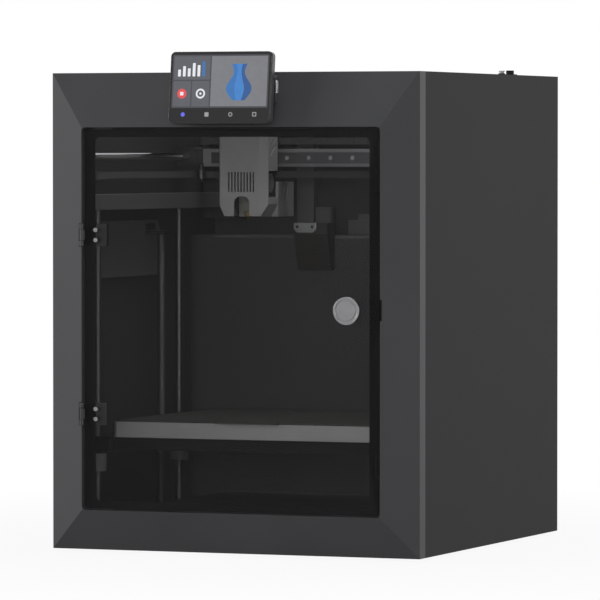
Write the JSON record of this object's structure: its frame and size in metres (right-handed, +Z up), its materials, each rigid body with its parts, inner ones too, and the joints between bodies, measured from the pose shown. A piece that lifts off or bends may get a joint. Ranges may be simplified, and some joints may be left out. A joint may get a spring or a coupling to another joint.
{
  "type": "enclosed desktop 3-d printer",
  "caption": "Enclosed desktop 3-D printer with smoked glass door and lid, tilting touch screen, moving cross rail and print head, and a bed that rises on lead screws",
  "frame": {"origin": "middle of the box's base, at the underside of the feet", "axes": "+Z up, +X to the viewer's right from the front, +Y to the back"},
  "size_m": [0.402, 0.4542, 0.5126],
  "materials": {
    "graphite_moulding": "fine satin grain",
    "side_panel": "fine matte texture",
    "coated_steel": "powder coat",
    "chamber_black": "satin",
    "chute": "satin",
    "foot_rubber": "matte",
    "smoked_glass": "polished, smoked",
    "border_print": "screen print",
    "black_hardware": "black oxide",
    "bright_steel": "bright",
    "chromed_rod": "hard chrome, polished",
    "rail_steel": "dark ground steel",
    "knob": "brushed",
    "magnet": "nickel",
    "motor_steel": "blackened",
    "belt_rubber": "ribbed",
    "screen_shell": "satin",
    "screen_face": "glossy",
    "carriage_black": "satin",
    "beam": "black anodised",
    "toolhead_grey": "fine matte grain",
    "toolhead_dark": "matte",
    "hot_metal": "machined",
    "brass": "machined",
    "fan_black": "satin",
    "bed_alloy": "bead blasted",
    "spring_sheet": "smooth coated sheet",
    "electronics": "mixed",
    "inlet_black": "gloss",
    "collar": "gloss"
  },
  "bodies": {
    "frame": {"front_frame": "graphite_moulding", "fixed_hinges": "black_hardware", "side_panel_left": "side_panel", "side_panel_right": "side_panel", "back_panel": "coated_steel", "top_frame": "graphite_moulding", "base_tray": "coated_steel", "feet": "foot_rubber", "chamber_walls": "chamber_black", "chamber_floor": "coated_steel", "rear_wall": "coated_steel", "inner_covers": "chamber_black", "guide_rods": "chromed_rod", "rod_and_idler_brackets": "black_hardware", "frame_idlers": "bright_steel", "stepper_motors": "motor_steel", "belts_fixed": "belt_rubber", "belts_moving": "belt_rubber", "waste_chute": "chute", "electronics": "electronics", "power_inlet": "inlet_black", "screen_mount": "screen_shell", "usb_port": "bright_steel", "exhaust_fan": "fan_black"},
    "door": {"door_glass": "smoked_glass", "door_border": "border_print", "door_hinges": "black_hardware", "hinge_screws": "bright_steel", "door_knob": "knob", "door_magnets": "magnet"},
    "lid": {"lid_glass": "smoked_glass", "lid_hinges": "black_hardware"},
    "screen": {"screen_housing": "screen_shell", "screen_glass": "screen_face"},
    "gantry": {"y_carriages": "carriage_black", "cross_beam": "beam", "x_rail": "rail_steel", "gantry_idlers": "bright_steel", "belts_cross": "belt_rubber"},
    "toolhead": {"x_carriage": "carriage_black", "toolhead_cover": "toolhead_grey", "rear_shroud": "toolhead_dark", "hot_end": "hot_metal", "nozzle": "brass", "toolhead_fans": "fan_black", "extruder": "toolhead_dark"},
    "bed": {"bed_plate": "bed_alloy", "build_plate": "spring_sheet", "bed_frame": "bed_alloy", "bed_bearings": "bright_steel", "screw_nuts": "brass"},
    "left_screw": {"left_screw": "bright_steel"},
    "right_screw": {"right_screw": "bright_steel"},
    "left_pulley": {"left_pulley": "bright_steel"},
    "right_pulley": {"right_pulley": "bright_steel"},
    "blower_impeller": {"blower_impeller": "fan_black"},
    "hotend_rotor": {"hotend_rotor": "fan_black"},
    "exhaust_rotor": {"exhaust_rotor": "fan_black"},
    "rocker": {"rocker": "inlet_black"},
    "inlet_collar": {"inlet_collar": "collar"}
  },
  "joints": [
    {"name": "gantry_y", "type": "slide", "parent": "frame", "child": "gantry", "axis": [0, 1, 0], "range_m": [-0.239, 0.055], "deforming": ["belts_moving"]},
    {"name": "carriage_x", "type": "slide", "parent": "gantry", "child": "toolhead", "axis": [1, 0, 0], "range_m": [-0.034, 0.235]},
    {"name": "bed_z", "type": "slide", "parent": "frame", "child": "bed", "axis": [0, 0, 1], "range_m": [-0.0522, 0.2038]},
    {"name": "door_hinge", "type": "hinge", "parent": "frame", "child": "door", "pos_m": [-0.1626, -0.21312, 0.245], "axis": [0, 0, -1], "range_deg": [0, 120]},
    {"name": "lid_hinge", "type": "hinge", "parent": "frame", "child": "lid", "pos_m": [0, 0.17908, 0.4924], "axis": [-1, 0, 0], "range_deg": [0, 100]},
    {"name": "screen_tilt", "type": "hinge", "parent": "frame", "child": "screen", "pos_m": [0, -0.20752, 0.486], "axis": [-1, 0, 0], "range_deg": [0, 30]},
    {"name": "left_screw_turn", "type": "hinge", "parent": "frame", "child": "left_screw", "pos_m": [-0.175, 0.02108, 0.1], "axis": [0, 0, 1], "continuous": true},
    {"name": "right_screw_turn", "type": "hinge", "parent": "frame", "child": "right_screw", "pos_m": [0.175, 0.02108, 0.1], "axis": [0, 0, 1], "continuous": true},
    {"name": "left_pulley_turn", "type": "hinge", "parent": "frame", "child": "left_pulley", "pos_m": [-0.174, 0.19868, 0.387], "axis": [0, 0, 1], "continuous": true},
    {"name": "right_pulley_turn", "type": "hinge", "parent": "frame", "child": "right_pulley", "pos_m": [0.174, 0.19868, 0.423], "axis": [0, 0, 1], "continuous": true},
    {"name": "blower_turn", "type": "hinge", "parent": "toolhead", "child": "blower_impeller", "pos_m": [-0.08, 0.08613, 0.378], "axis": [1, 0, 0], "continuous": true},
    {"name": "hotend_fan_turn", "type": "hinge", "parent": "toolhead", "child": "hotend_rotor", "pos_m": [-0.1005, 0.07228, 0.379], "axis": [0, 1, 0], "continuous": true},
    {"name": "exhaust_fan_turn", "type": "hinge", "parent": "frame", "child": "exhaust_rotor", "pos_m": [0.105, 0.21008, 0.25], "axis": [0, 1, 0], "continuous": true},
    {"name": "power_rocker", "type": "hinge", "parent": "frame", "child": "rocker", "pos_m": [-0.1235, 0.22058, 0.154], "axis": [1, 0, 0], "range_deg": [-8, 8]},
    {"name": "inlet_collar_press", "type": "slide", "parent": "frame", "child": "inlet_collar", "axis": [0, 0, 1], "range_m": [-0.0012, 0], "stiffness_N_per_m": 400}
  ],
  "couplings": [
    {"joint": "left_screw_turn", "follows": "bed_z", "rad_per_m": -785.4},
    {"joint": "right_screw_turn", "follows": "bed_z", "rad_per_m": -785.4},
    {"joint": "left_pulley_turn", "follows": "gantry_y", "rad_per_m": 196.08},
    {"joint": "right_pulley_turn", "follows": "gantry_y", "rad_per_m": -196.08}
  ]
}
